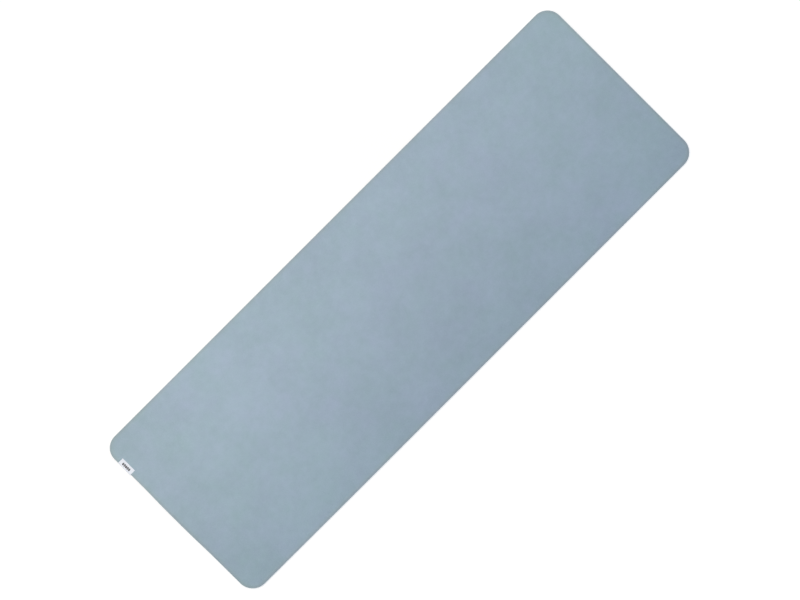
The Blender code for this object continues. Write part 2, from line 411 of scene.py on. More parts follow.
@dataclass(frozen=True)
class FoamFinish:
    """Matt closed-cell foam with a moulded skin: a pebble grain, faint clouds and painted light
    bands.

    The bands are painted light and shade: two broad paler stretches across the mat. The hue drifts
    between a green and a violet grey in long patches, and is greener towards both ends. The rim is
    darker and greyer, partly as foam that the cutting die pressed and partly as painted shade of its
    rounding, and a strip beside it is tinted warmer, with less blue.
    """

    name: str
    colour: Colour
    ribs: Ribs | None = None
    roughness: float = 0.86
    roughness_spread: float = 0.08
    pebble_size: float = 0.0012
    pebble_depth: float = 0.00024
    pebble_shade_weight: float = 0.5
    pore_size: float = 0.0004
    pore_depth: float = 0.00006
    pore_shade_weight: float = 0.5
    swell_size: float = 0.006
    contrast: float = 0.08
    tone_patches: tuple[Patches, ...] = (
        Patches(0.50, 0.60, 1.0, (10.0, 15.2, 0.7)),
        Patches(0.20, 0.48, 2.0, (13.7, 12.8, 14.7)),
        Patches(0.14, 0.45, 1.0, (7.9, 0.6, 4.8)),
        Patches(0.080, 0.72, 2.0, (5.5, 2.9, 10.6)),
        Patches(0.020, 0.85, 4.0),
        Patches(0.0045, 0.6),
    )
    painted_light_length: float = 1.10
    painted_light_crest: float = -0.50
    painted_light_weight: float = 0.31
    greenest: Colour = (0.951, 1.0, 0.945)
    most_violet: Colour = (1.049, 1.0, 1.055)
    hue_patches: tuple[Patches, ...] = (
        Patches(0.40, 0.66, 1.0, (11.9, 6.3, 2.7)),
        Patches(0.20, 0.55, 1.0, (11.5, 19.9, 19.1)),
        Patches(0.10, 1.15, 3.0, (16.5, 11.4, 11.3)),
        Patches(0.030, 0.75, 2.0),
    )
    drift_length: float = 1.9
    drift_crest: float = 0.25
    drift_weight: float = 0.19
    groove_shade: float = 0.80
    rim_width: float = 0.0048
    rim_fade: float = 0.0024
    rim_wobble: float = 0.0030
    wobble_size: float = 0.035
    pressed_rim_shade_tint: Colour = (0.972, 0.938, 0.930)
    warm_strip_width: float = 0.0170
    warm_strip_tint: Colour = (1.0, 1.0, 0.957)

    def rim_shade_and_warm_strip(self, graph: Graph, colour: Socket) -> Socket:
        """Lays the darker rim, partly painted shade, and the warmer strip beside it over a colour.

        Both follow the distance from the mat's outline, with a slow noise that makes it wander.

        Args:
            graph: The material's nodes.
            colour: The foam's own colour.

        Returns:
            The colour with its rim darker and the strip beside it warmer.
        """
        wander = graph.maths("SUBTRACT", graph.noise(graph.place(), self.wobble_size), 0.5)
        inside = graph.maths("MULTIPLY_ADD", wander, self.rim_wobble, graph.painted("inside"))
        # Painted shade along the rim, partly also the tone of foam that the die pressed; a warmer
        # strip lies inside it.
        for end, tint in (
            (self.warm_strip_width, self.warm_strip_tint),
            (self.rim_width + self.rim_fade, self.pressed_rim_shade_tint),
        ):
            edge_share = graph.ramp(inside, (self.rim_width, end), (1.0, 0.0), "SMOOTHSTEP")
            colour = graph.tint(edge_share, colour, WHITE, tint)
        return colour

    def material(self) -> Material:
        """Builds the skin's material.

        Returns:
            The material.
        """
        graph = Graph(self.name)
        place = graph.place()
        along = graph.axes(place)[0]
        pebbles = graph.cells(place, self.pebble_size)
        pores = graph.noise(place, self.pore_size, detail=0.0)
        # Painted light and shade: broad paler and darker stretches along the mat, standing in for the
        # light's fall.
        bands = graph.wave(along, self.painted_light_length, self.painted_light_crest)
        drift = graph.wave(along, self.drift_length, self.drift_crest)
        tones = [graph.patches(place, kind) for kind in self.tone_patches]
        hues = [graph.patches(place, kind) for kind in self.hue_patches]
        # Painted shade: the low parts of the pebbles and the pores are painted darker.
        grain = ((pebbles, self.pebble_shade_weight), (pores, self.pore_shade_weight))
        tone = graph.weigh(*tones, *grain, (bands, self.painted_light_weight))
        hue = graph.weigh(*hues, (drift, self.drift_weight))
        colour = graph.tones(tone, self.colour, 1.0 - self.contrast, 1.0 + self.contrast)
        colour = self.rim_shade_and_warm_strip(graph, graph.tint(hue, colour, self.greenest, self.most_violet))
        if self.ribs is not None:
            # Painted shade: the grooves between the ribs are painted darker.
            groove = self.ribs.groove_socket(graph)
            colour = graph.tint(groove, colour, WHITE, shade(WHITE, self.groove_shade))
        smoothest = self.roughness - self.roughness_spread / 2.0
        swells = graph.bump(graph.noise(place, self.swell_size), self.pebble_depth)
        pebbled = graph.bump(pebbles, self.pebble_depth, swells)
        return graph.finish(
            Base_Color=colour,
            Roughness=graph.maths("MULTIPLY_ADD", tones[-1][0], self.roughness_spread, smoothest),
            Specular_IOR_Level=0.25,
            Normal=graph.bump(pores, self.pore_depth, pebbled),
        )


@dataclass(frozen=True)
class CutFoamFinish:
    """The die-cut side of the foam, where the cells stand open as fine pores."""

    name: str
    colour: Colour
    pores: Patches = Patches(0.00035, 0.8)
    pore_depth: float = 0.00006
    drag: Patches = Patches(0.004, 0.6, 3.0)
    tone_range: Pair = (0.86, 1.06)

    def material(self) -> Material:
        """Builds the cut side's material.

        Returns:
            The material.
        """
        graph = Graph(self.name)
        pores = graph.cells(graph.place(), self.pores.size)
        drag = graph.noise(graph.place(), self.drag.size, self.drag.detail)
        tone = graph.weigh((pores, self.pores.weight), (drag, self.drag.weight))
        return graph.finish(
            Base_Color=graph.tones(tone, self.colour, *self.tone_range),
            Roughness=0.92,
            Specular_IOR_Level=0.2,
            Normal=graph.bump(pores, self.pore_depth),
        )


@dataclass(frozen=True)
class ScrimFinish:
    """Open plain weave of pale polyester yarns."""

    colour: Colour = (0.62, 0.64, 0.64)
    gap_shade: float = 0.7
    yarn_pitch: float = 0.0020
    yarn_depth: float = 0.0001

    def material(self) -> Material:
        """Builds the scrim's material: yarns both ways, as the higher of two crossed cosines.

        Returns:
            The material.
        """
        graph = Graph("scrim_yarns")
        yarns = [
            graph.maths("COSINE", graph.maths("MULTIPLY", axis, TURN / self.yarn_pitch))
            for axis in graph.axes(graph.place())[:2]
        ]
        weave = graph.maths("MULTIPLY_ADD", graph.maths("MAXIMUM", *yarns), 0.5, 0.5)
        # Painted shade: the gaps between the yarns are darker.
        colour = graph.tones(weave, self.colour, self.gap_shade)
        return graph.finish(
            Base_Color=colour, Roughness=0.8, Normal=graph.bump(weave, self.yarn_depth)
        )


@dataclass(frozen=True)
class LabelFinish:
    """White satin-woven ribbon with a plain chain of beads woven in charcoal near the fold.

    Every place on the cloth is first rounded to whole threads, so the figure has the stepped edge
    of a woven one.
    """

    motif_along: float
    motif_across: float
    ground: Colour = (0.667, 0.706, 0.785)
    ground_range: Pair = (0.93, 1.05)
    figure: Colour = (0.016, 0.015, 0.020)
    warp_pitch: float = 0.00030
    weft_pitch: float = 0.00024
    satin_shift: float = 0.2
    warp_weight: float = 0.4
    weft_weight: float = 0.8
    weave_weight: float = 0.7
    weave_depth: float = 0.00003
    figure_rise: float = 0.4
    slubs: Patches = Patches(0.0016, 0.5, 3.0)
    beads: int = 5
    bead_length: float = 0.0060
    bead_height: float = 0.0084
    bead_steepness: float = 1.8
    neck_share: float = 0.14
    heart_start: float = 0.72

    def figure_mask(self, graph: Graph, across: Socket, along: Socket) -> Socket:
        """Works out where the charcoal thread lies on top.

        The chain's outline follows a triangle wave along its middle line that rises from 0 to 1 and
        falls back over each bead. It is made steeper and clipped at 1, so the beads have flat tops,
        and it never falls below the neck's share, so they hang together. The part of the wave above
        the heart's start leaves a small pale diamond in each bead.

        Args:
            graph: The material's nodes.
            across: The place across the cloth.
            along: The place along the cloth.

        Returns:
            1 on the figure and 0 off it.
        """
        maths = graph.maths
        u = maths("SUBTRACT", maths("SNAP", across, self.warp_pitch), self.motif_across)
        v = maths("SUBTRACT", maths("SNAP", along, self.weft_pitch), self.motif_along)
        chain_half = self.beads * self.bead_length / 2.0
        bead_half = self.bead_height / 2.0
        turn = maths("DIVIDE", maths("ADD", u, chain_half), self.bead_length)
        wave = maths("PINGPONG", maths("MULTIPLY", turn, 2.0), 1.0)
        steep = maths("MINIMUM", maths("MULTIPLY", wave, self.bead_steepness), 1.0)
        edge = maths("MULTIPLY", maths("MAXIMUM", steep, self.neck_share), bead_half)
        heart = maths("MULTIPLY", maths("SUBTRACT", wave, self.heart_start), bead_half)
        off_middle = maths("ABSOLUTE", v)
        in_bead = maths("LESS_THAN", off_middle, edge)
        off_heart = maths("GREATER_THAN", off_middle, heart)
        in_chain = maths("LESS_THAN", maths("ABSOLUTE", u), chain_half)
        return maths("MULTIPLY", maths("MULTIPLY", in_bead, off_heart), in_chain)

    def material(self) -> Material:
        """Builds the ribbon's material: warp and weft ripples, whose phase slips as in a satin.

        Returns:
            The material.
        """
        graph = Graph("label_weave")
        across, along = graph.cloth()
        warp_turn = graph.maths("MULTIPLY", across, TURN / self.warp_pitch)
        weft_turn = graph.maths("MULTIPLY", along, TURN / self.weft_pitch)
        warp = graph.ripple(graph.maths("MULTIPLY_ADD", weft_turn, self.satin_shift, warp_turn))
        weave = graph.weigh((warp, self.warp_weight), (graph.ripple(weft_turn), self.weft_weight))
        slubs = graph.noise(graph.place(), self.slubs.size, self.slubs.detail)
        tone = graph.weigh((weave, self.weave_weight), (slubs, self.slubs.weight))
        mask = self.figure_mask(graph, across, along)
        raised = graph.maths("MULTIPLY_ADD", mask, self.figure_rise, weave)
        ground = graph.tones(tone, self.ground, *self.ground_range)
        return graph.finish(
            Base_Color=graph.mix(mask, ground, self.figure),
            Roughness=0.52,
            Specular_IOR_Level=0.4,
            Sheen_Weight=0.25,
            Sheen_Roughness=0.4,
            Normal=graph.bump(raised, self.weave_depth),
        )


@dataclass(frozen=True)
class ThreadFinish:
    """White polyester sewing thread with a soft lustre."""

    colour: Colour = (0.80, 0.82, 0.86)
    fibre_tone: float = 0.88
    fibre_size: float = 0.00008
    fibre_depth: float = 0.00001

    def material(self) -> Material:
        """Builds the thread's material, with fibres as a very fine grain.

        Returns:
            The material.
        """
        graph = Graph("sewing_thread")
        fibres = graph.noise(graph.place(), self.fibre_size)
        return graph.finish(
            Base_Color=graph.tones(fibres, self.colour, self.fibre_tone),
            Roughness=0.45,
            Sheen_Weight=0.3,
            Normal=graph.bump(fibres, self.fibre_depth),
        )


@dataclass(frozen=True)
class Outline:
    """The mat's outline: a rectangle with rounded corners, centred on the origin."""

    half_length: float
    half_width: float
    radii_low_end: Pair = (0.0500, 0.0465)
    radii_high_end: Pair = (0.0500, 0.0490)
    corner_step: float = 0.0024
    end_shift: float = -0.00075
    end_tilt: float = 0.0043
    end_bow: float = 0.0019
    bow_width: float = 0.105
    end_flare: float = 0.0012
    flare_start: float = 0.190
    flare_width: float = 0.060
    end_reach: float = 0.30
    side_taper: float = 0.00135
    taper_reach: float = 0.60
    taper_power: float = 1.5

    @property
    def half(self) -> Array:
        """Returns half the length and half the width."""
        return np.array([self.half_length, self.half_width])

    def radius(self, places: Array) -> Array:
        """Returns the radius of the corner in each place's quarter, on a last axis of one."""
        ends = np.where(places[..., :1] < 0.0, self.radii_low_end, self.radii_high_end)
        return np.where(places[..., 1:] < 0.0, ends[..., :1], ends[..., 1:])

    def rounded(self, places: Array, inset: float) -> Array:
        """Carries places in the full rectangle onto the rounded one.

        Only the four corner squares change. There the larger of a place's two distances from the
        square's inner corner becomes its radius. The ratio of the smaller to the larger turns it by
        up to an eighth of a circle away from the nearer side, so squares become quarter discs.

        Args:
            places: Where in the rectangle.
            inset: How far inside the outline the rectangle's edge lands.

        Returns:
            The new places.
        """
        corner = self.radius(places)
        inner = self.half - corner
        over = np.maximum(np.abs(places) - inner, 0.0) / corner
        larger, smaller = over.max(axis=-1), over.min(axis=-1)
        turn = math.pi / 4.0 * smaller / np.maximum(larger, TINY)
        near, far = larger * np.cos(turn), larger * np.sin(turn)
        x_leads = over[..., :1] >= over[..., 1:]
        disc = np.where(x_leads, np.stack([near, far], axis=-1), np.stack([far, near], axis=-1))
        return np.sign(places) * (np.minimum(np.abs(places), inner) + disc * (corner - inset))

    def grid(self, steps: Pair, inset: float, foci: tuple[Focus, ...] = ()) -> Array:
        """Lays a grid over the mat whose lines stand closer in the corners and at the foci.

        Args:
            steps: The widest spacing along and across.
            inset: How far inside the outline the grid ends.
            foci: One finer stretch along and one across, or none.

        Returns:
            Places, in rows across by columns along.
        """
        lines = []
        for axis, (half, step) in enumerate(zip(self.half, steps)):
            inner = half - max(self.radii_low_end + self.radii_high_end)
            corners = [Focus(*ends, self.corner_step) for ends in ((-half, -inner), (inner, half))]
            lines.append(graded_lines(half, step, [*foci[axis : axis + 1], *corners]))
        return self.rounded(np.stack(np.meshgrid(*lines), axis=-1), inset)

    def depth_inside(self, places: Array) -> Array:
        """Works out how far inside the outline each place lies.

        In a corner that is the corner's radius less the distance to its centre, and elsewhere the
        distance to the nearer side.

        Args:
            places: Where on the mat.

        Returns:
            The distances, less than zero outside.
        """
        corner = self.radius(places)
        past = np.abs(places) - self.half + corner
        to_centre = np.hypot(*np.moveaxis(np.maximum(past, 0.0), -1, 0))
        return corner[..., 0] - to_centre - np.minimum(past.max(axis=-1), 0.0)

    def outward(self, rim: Array) -> Array:
        """Returns which way the outline faces: from the nearest corner's centre or the side."""
        past = np.abs(rim) - (self.half - self.radius(rim))
        return unit(np.maximum(past, 0.0) * np.sign(rim))

    def uneven(self, points: Array) -> Array:
        """Gives the outline the slight unevenness of the real cut at the -X end.

        The end moves outwards by a slope across the mat, plus a broad bow (a bell curve of the
        fourth power), plus a flare at the +Y corner. That fades with the square of the distance
        from the end. The -Y side is drawn in by a power of the distance from the taper's start.

        Args:
            points: The points as cut true.

        Returns:
            The shifted points.
        """
        x, y = points[:, 0], points[:, 1]
        outwards = self.end_shift + self.end_tilt * y
        outwards += self.end_bow * np.exp(-((y / self.bow_width) ** 4))
        outwards += self.end_flare * smooth_step((y - self.flare_start) / self.flare_width)
        fade = np.clip(1.0 - (x + self.half_length) / self.end_reach, 0.0, 1.0) ** 2
        start = self.taper_reach - self.half_length
        taper = np.clip((start - x) / self.taper_reach, 0.0, 1.0) ** self.taper_power
        shifted = points.copy()
        shifted[:, 0] -= outwards * fade
        shifted[:, 1] += self.side_taper * taper * np.clip(-y / self.half_width, 0.0, 1.0)
        return shifted


@dataclass(frozen=True)
class Pinch:
    """Where the label's stitches press the foam towards the mat's middle."""

    x_end: float
    y_low: float
    y_high: float
    depth: float
    shoulder: float = 0.0022
    margin: float = 0.003

    def share(self, places: Array) -> Array:
        """Works out how far the foam is pressed.

        The share is one less the eased distance from the label's rectangle over the shoulder.

        Args:
            places: Where on the mat.

        Returns:
            The share of the full depth: 1 under the label and 0 past the shoulder.
        """
        x, y = places[..., 0], places[..., 1]
        past_x = np.maximum(x - self.x_end, 0.0)
        past_y = np.maximum(np.maximum(self.y_low - y, y - self.y_high), 0.0)
        return 1.0 - smooth_step(np.hypot(past_x, past_y) / self.shoulder)

    def foci(self, step: float) -> tuple[Focus, Focus]:
        """Returns the stretches along and across that hold the label, with a margin."""
        along = Focus(-math.inf, self.x_end + self.margin, step)
        return along, Focus(self.y_low - self.margin, self.y_high + self.margin, step)


@dataclass
class FoamSheet:
    """One foam layer as a closed form: its outer face as a grid, a rounded rim, a side and a lid.

    The layer is worked out as if it were the upper one, with heights counted from the mat's middle
    outwards, and turned over for the lower one.
    """

    name: str
    node: str
    side: Side
    colour: Colour
    outline: Outline
    pinch: Pinch
    middle: float
    bond_offset: float
    face_offset: float
    steps: Pair
    fine_step: float
    ribs: Ribs | None = None
    rim_radius: float = 0.0006
    side_bulge: float = 0.00012
    rim_steps: int = 4
    side_steps: int = 5
    swell_depth: float = 0.00020
    swell_along: float = 7.1
    swell_across: float = 9.7
    swell_skew: float = 2.0
    sway: float = 1.3
    sway_across: float = 5.3
    flat_rim: float = 0.003
    relief_fade: float = 0.007

    def relief(self, places: Array) -> Array:
        """Works out how far the face lies below its highest level.

        A slow swell is the product of two long waves, a swaying sine along and a skewed cosine
        across, brought between 0 and 1, and the ribs come on top of it. Both fade out at the rim.

        Args:
            places: Where on the mat.

        Returns:
            The depths.
        """
        x, y = places[..., 0], places[..., 1]
        waves = 0.5 * np.sin(self.swell_along * x + self.sway * np.sin(self.sway_across * y))
        waves *= np.cos(self.swell_across * y + self.swell_skew * x)
        depth = self.swell_depth * (0.5 - waves)
        if self.ribs is not None:
            depth += self.ribs.depth * self.ribs.groove(x, y)
        fade = smooth_step((self.outline.depth_inside(places) - self.flat_rim) / self.relief_fade)
        return depth * fade * (1.0 - self.pinch.share(places))

    def face_points(self) -> Array:
        """Returns the outer face's grid, with offsets from the middle as heights."""
        grid = self.outline.grid(self.steps, self.rim_radius, self.pinch.foci(self.fine_step))
        return np.dstack([grid, self.face_offset - self.relief(grid)])

    def rings(self, rim: Array) -> Array:
        """Works out the rings that run from the face's rim, round it and down the side to the bond.

        A rim point moves outwards by the sine of its angle and down by one less its cosine, times
        the rim's radius. The side then bulges by a half sine between the rim and the bond.

        Args:
            rim: The face's outermost points, in order round it.

        Returns:
            Points, in rows of one ring each.
        """
        angles = np.linspace(0.0, math.pi / 2.0, self.rim_steps + 1)[1:]
        shares = np.linspace(0.0, 1.0, self.side_steps + 1)[1:]
        hollow = self.side_bulge * (1.0 - np.sin(math.pi * shares)) * shares
        side_height = self.face_offset - self.rim_radius - self.bond_offset
        out = np.concatenate([self.rim_radius * np.sin(angles), self.rim_radius - hollow])
        down = self.rim_radius * (1.0 - np.cos(angles))
        down = np.concatenate([down, self.rim_radius + side_height * shares])
        spread = out[:, None, None] * self.outline.outward(rim[:, :2])
        heights = rim[:, 2:] - down[:, None, None]
        return np.concatenate([rim[:, :2] + spread, heights], axis=-1)

    def build(self) -> Piece:
        """The pinch scales every height above the bond by one share, so that the face sinks by the
        pinch's full depth under the label and the bonded face stays where it is.

        Returns:
            The finished piece.
        """
        face = self.face_points()
        number = np.arange(face[..., 0].size).reshape(face.shape[:2])
        loop = border(number)
        rings = self.rings(face.reshape(-1, 3)[loop])
        ring_number = number.size + np.arange(rings[..., 0].size).reshape(rings.shape[:2])
        bands = np.concatenate([loop[None, :], ring_number])
        middle = [[0.0, 0.0, self.bond_offset]]
        points = np.concatenate([face.reshape(-1, 3), rings.reshape(-1, 3), middle])
        centre = np.full(len(loop), len(points) - 1)
        lid = np.stack([bands[-1], centre, np.roll(bands[-1], -1)], axis=-1)
        faces = [grid_faces(number), ring_faces(bands)[:, FLIPPED_QUAD], lid]

        inside = self.outline.depth_inside(points[:, :2])
        pressed = self.pinch.share(points[:, :2]) * self.pinch.depth
        points[:, 2] *= 1.0 - pressed / self.face_offset * (points[:, 2] > self.bond_offset)
        points = self.outline.uneven(points)
        points[:, 2] = self.middle + self.side.value * points[:, 2]
        if self.side is Side.LOWER:
            faces = [part[:, ::-1] for part in faces]
        skin_count = len(faces[0]) + len(loop) * self.rim_steps
        counts = [skin_count, len(loop) * self.side_steps, len(loop)]
        finish_of_face = np.repeat(np.array([0, 1, 0], dtype=np.int32), counts)
        skin = FoamFinish(self.name + "_skin", self.colour, self.ribs).material()
        cut = CutFoamFinish(self.name + "_cut", self.colour).material()
        piece = mesh_piece(self.name, points, faces, [skin, cut], finish_of_face)
        paint_number(piece, "inside", inside)
        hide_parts(self.node)
        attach(piece, "root")
        return piece


@dataclass
class Scrim:
    """The woven sheet between the foam layers, as a thin closed slab with the mat's outline."""

    outline: Outline
    bottom: float
    top: float
    setback: float = 0.00028
    step: float = 0.02

    def build(self) -> Piece:
        """Builds the sheet: two copies of one grid, joined by a band round the edge.

        Returns:
            The finished piece.
        """
        places = self.outline.grid((self.step, self.step), self.setback)
        flat = places.reshape(-1, 2)
        levels = [np.insert(flat, 2, height, axis=1) for height in (self.top, self.bottom)]
        points = self.outline.uneven(np.concatenate(levels))
        number = np.arange(len(flat)).reshape(places.shape[:2])
        upper, loop = grid_faces(number), border(number)
        band = ring_faces(np.stack([loop, loop + len(flat)]))[:, FLIPPED_QUAD]
        faces = [upper, upper[:, ::-1] + len(flat), band]
        piece = mesh_piece("scrim_cloth", points, faces, [ScrimFinish().material()])
        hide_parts("reinforcing_scrim")
        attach(piece, "root")
        return piece


@dataclass
class Stitching:
    """Where the lockstitch runs, and the twisted thread that makes it."""

    row_x: float
    row_low: float
    row_high: float
    middle: float
    run_offset: float
    thread_radius: float
    count: int = 10
    leg_spread: float = 0.00018
    lock_offset: float = 0.0001
    tail: float = 0.0013
    bend: float = 0.00028
    lay: float = 0.0013
    plies: int = 3
    sides: int = 6
    step: float = 0.00012
    never_along: Point = (0.62, 0.49, 0.61)

    def holes(self) -> Array:
        """Returns where along the row the needle went through."""
        return np.linspace(self.row_low, self.row_high, self.count + 1)

    def route(self, side: Side) -> Array:
        """Works out the thread's middle line.

        At each hole it turns in, goes down one leg, crosses at the lock and comes back up the other
        leg. The corners of that polygon are softened by a running average along its length.

        Args:
            side: The side of the mat that the thread runs on.

        Returns:
            Evenly spaced points.
        """
        holes = self.holes()
        lean = self.leg_spread * np.array([-1.0, -1.0, 1.0, 1.0])
        sideways, onwards = (lean, 0.0 * lean) if side is Side.UPPER else (0.0 * lean, lean)
        offsets = np.array([self.run_offset, self.lock_offset, self.lock_offset, self.run_offset])
        across = np.tile(self.row_x + sideways, len(holes))
        along = (holes[:, None] + onwards).ravel()
        height = self.middle + side.value * np.tile(offsets, len(holes))
        corners = np.stack([across, along, height], axis=1)
        corners = np.concatenate([corners[:1], corners, corners[-1:]])
        corners[[0, -1], 1] += (-self.tail, self.tail)
        steps = np.linalg.norm(np.diff(corners, axis=0), axis=1)
        lengths = np.concatenate([[0.0], np.cumsum(steps)])
        places = np.linspace(0.0, lengths[-1], round(lengths[-1] / self.step))
        line = np.stack([np.interp(places, lengths, axis) for axis in corners.T], axis=1)
        reach = max(1, round(self.bend / self.step))
        window = np.ones(2 * reach + 1) / (2 * reach + 1)
        padded = np.pad(line, ((reach, reach), (0, 0)), mode="reflect", reflect_type="odd")
        return np.stack([np.convolve(axis, window, mode="valid") for axis in padded.T], axis=1)

    def twisted(self, line: Array) -> tuple[Array, list[Array]]:
        """Winds the plies round a line and gives each its own closed tube.

        A ply's middle lies off the line by the ply circle's radius, turned once in each lay, and
        its wall is a small circle round that middle. The two directions across the line come from
        its tangent and one fixed direction that the line never follows. Three plies that touch each
        other have the thread's radius over one plus two over the root of three.

        Args:
            line: Evenly spaced points.

        Returns:
            The points and the faces.
        """
        tangent = unit(np.gradient(line, axis=0))
        sideways = unit(np.cross(tangent, np.array(self.never_along)))
        upwards = np.cross(tangent, sideways)
        ply_radius = self.thread_radius / (1.0 + 2.0 / math.sqrt(3.0))
        turn = TURN * np.arange(len(line)) * self.step / self.lay
        ring = (TURN * np.arange(self.sides) / self.sides)[None, :, None]
        wall = np.cos(ring) * sideways[:, None, :] + np.sin(ring) * upwards[:, None, :]
        points, walls, ends = [], [], []
        number = np.arange(len(line) * self.sides).reshape(len(line), self.sides)
        for ply in range(self.plies):
            angle = (turn + TURN * ply / self.plies)[:, None]
            off_line = np.cos(angle) * sideways + np.sin(angle) * upwards
            middle = line + (self.thread_radius - ply_radius) * off_line
            points.append((middle[:, None, :] + ply_radius * wall).reshape(-1, 3))
            walls.append(ring_faces(number))
            ends += [fan_faces(number[0])[:, FLIPPED_TRIANGLE], fan_faces(number[-1])]
            number = number + number.size
        return np.concatenate(points), walls + ends

    def build(self, name: str, node: str, side: Side) -> Piece:
        """Builds one thread of the lockstitch.

        Args:
            name: The piece's name.
            node: The solid that it stands for.
            side: The side of the mat that it runs on.

        Returns:
            The finished piece.
        """
        points, faces = self.twisted(self.route(side))
        piece = mesh_piece(name, points, faces, [ThreadFinish().material()])
        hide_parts(node)
        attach(piece, "root")
        return piece


@dataclass
class Label:
    """The woven ribbon, folded once round the mat's end and drawn down by its stitches."""

    edge_x: float
    reach: float
    y_low: float
    y_high: float
    middle: float
    leaf_offset: float
    thickness: float
    stitching: Stitching
    fold_slack: float = 0.0008
    motif_setback: float = 0.0065
    along_step: float = 0.00040
    across_step: float = 0.00045
    edge_steps: int = 4
    dip_depth: float = 0.00016
    dip_size: float = 0.00065
    groove_depth: float = 0.00007
    groove_size: float = 0.0009
    groove_fade: float = 0.003
    ripple_depth: float = 0.00012
    ripple_rate: float = 410.0
    ripple_sway: float = 0.9
    sway_rate: float = 150.0

    @property
    def straight(self) -> float:
        """Returns how far each leaf runs before the fold's half turn."""
        return self.reach + self.fold_slack

    @property
    def length(self) -> float:
        """Returns the ribbon's whole length along its middle."""
        return 2.0 * self.straight + math.pi * self.leaf_offset

    def centre_line(self, along: Array) -> tuple[Array, Array, Array]:
        """Works out the ribbon's path in the plane of X and Z.

        The upper leaf runs straight out to the fold, which is a half circle round the mat's middle,
        and the lower leaf runs straight back.

        Args:
            along: Places along the ribbon, from the upper leaf's inner end.

        Returns:
            The path's rows of x and z, its outward directions, and the fold's angle from 0 to pi.
        """
        angle = np.clip((along - self.straight) / self.leaf_offset, 0.0, math.pi)
        before = np.minimum(along, self.straight)
        after = np.maximum(along - self.straight - math.pi * self.leaf_offset, 0.0)
        x = self.edge_x + self.reach - before + after - self.leaf_offset * np.sin(angle)
        z = self.middle + self.leaf_offset * np.cos(angle)
        facing = np.stack([-np.sin(angle), np.cos(angle)], axis=1)
        return np.stack([x, z], axis=1), facing, angle

    def sink(self, along: Array, across: Array, angle: Array) -> Array:
        """Works out how far the ribbon lies inside its plain path.

        Each stitch hole is a bell-shaped dip, the stitch row a shallow groove, and the fold ripples
        by a swaying sine across the ribbon that is strongest at the fold's middle.

        Args:
            along: Places along the ribbon, as a column.
            across: Places across the mat, as a row.
            angle: The fold's angle at each place along, as a column.

        Returns:
            Depths, with a row for each place along and a column for each place across.
        """
        from_end = np.minimum(along, self.length - along)
        from_row = from_end - (self.edge_x + self.reach - self.stitching.row_x)
        nearest = np.min(np.abs(across[..., None] - self.stitching.holes()), axis=-1)
        dips = self.dip_depth * np.exp(-(from_row**2 + nearest**2) / (2.0 * self.dip_size**2))
        in_row = smooth_step((across - self.y_low) / self.groove_fade)
        in_row = in_row * smooth_step((self.y_high - across) / self.groove_fade)
        groove = self.groove_depth * np.exp(-(from_row**2) / (2.0 * self.groove_size**2)) * in_row
        sway = self.ripple_sway * np.sin(self.sway_rate * across)
        ripple = self.ripple_depth * np.sin(angle) * np.sin(self.ripple_rate * across + sway)
        return dips + groove + ripple

    def build(self) -> Piece:
        """Builds the ribbon: a flat section with round selvedges, carried along its path.

        Returns:
            The finished piece.
        """
        width, half = self.y_high - self.y_low, self.thickness / 2.0
        low, high = self.y_low + half, self.y_high - half
        along = np.linspace(0.0, self.length, round(self.length / self.along_step) + 1)
        flat = np.linspace(low, high, round(width / self.across_step) + 1)
        turn = np.linspace(math.pi / 2.0, -math.pi / 2.0, self.edge_steps + 1)[1:-1]
        bulge = half * np.cos(turn)
        across = np.concatenate([flat, high + bulge, flat[::-1], low - bulge])
        level = np.ones(len(flat))
        rise = half * np.concatenate([level, np.sin(turn), -level, np.sin(turn[::-1])])
        path, facing, angle = self.centre_line(along)
        rise = rise - self.sink(along[:, None], across[None, :], angle[:, None])
        x = path[:, :1] + facing[:, :1] * rise
        z = path[:, 1:] + facing[:, 1:] * rise
        points = np.dstack([x, np.broadcast_to(across, x.shape), z]).reshape(-1, 3)

        number = np.arange(x.size).reshape(x.shape)
        upper = np.arange(len(flat) - 1)
        opposite = 2 * len(flat) + len(turn) - 1 - upper
        cap = np.stack([upper, upper + 1, opposite - 1, opposite], axis=-1)
        right = np.arange(len(flat) - 1, len(flat) + len(turn) + 1)
        left = np.append(np.arange(opposite[0], len(across)), 0)
        faces = [ring_faces(number), number[0][cap][:, ::-1], number[-1][cap]]
        faces += [fan_faces(number[0][edge])[:, ::-1] for edge in (right, left)]
        faces += [fan_faces(number[-1][edge]) for edge in (right, left)]
        finish = LabelFinish(self.reach - self.motif_setback, width / 2.0)
        piece = mesh_piece("label_ribbon", points, faces, [finish.material()])
        flat_places = [np.tile(across - self.y_low, len(along)), np.repeat(along, len(across))]
        paint_uv(piece, np.stack(flat_places, axis=1))
        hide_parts("woven_label")
        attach(piece, "root")
        return piece


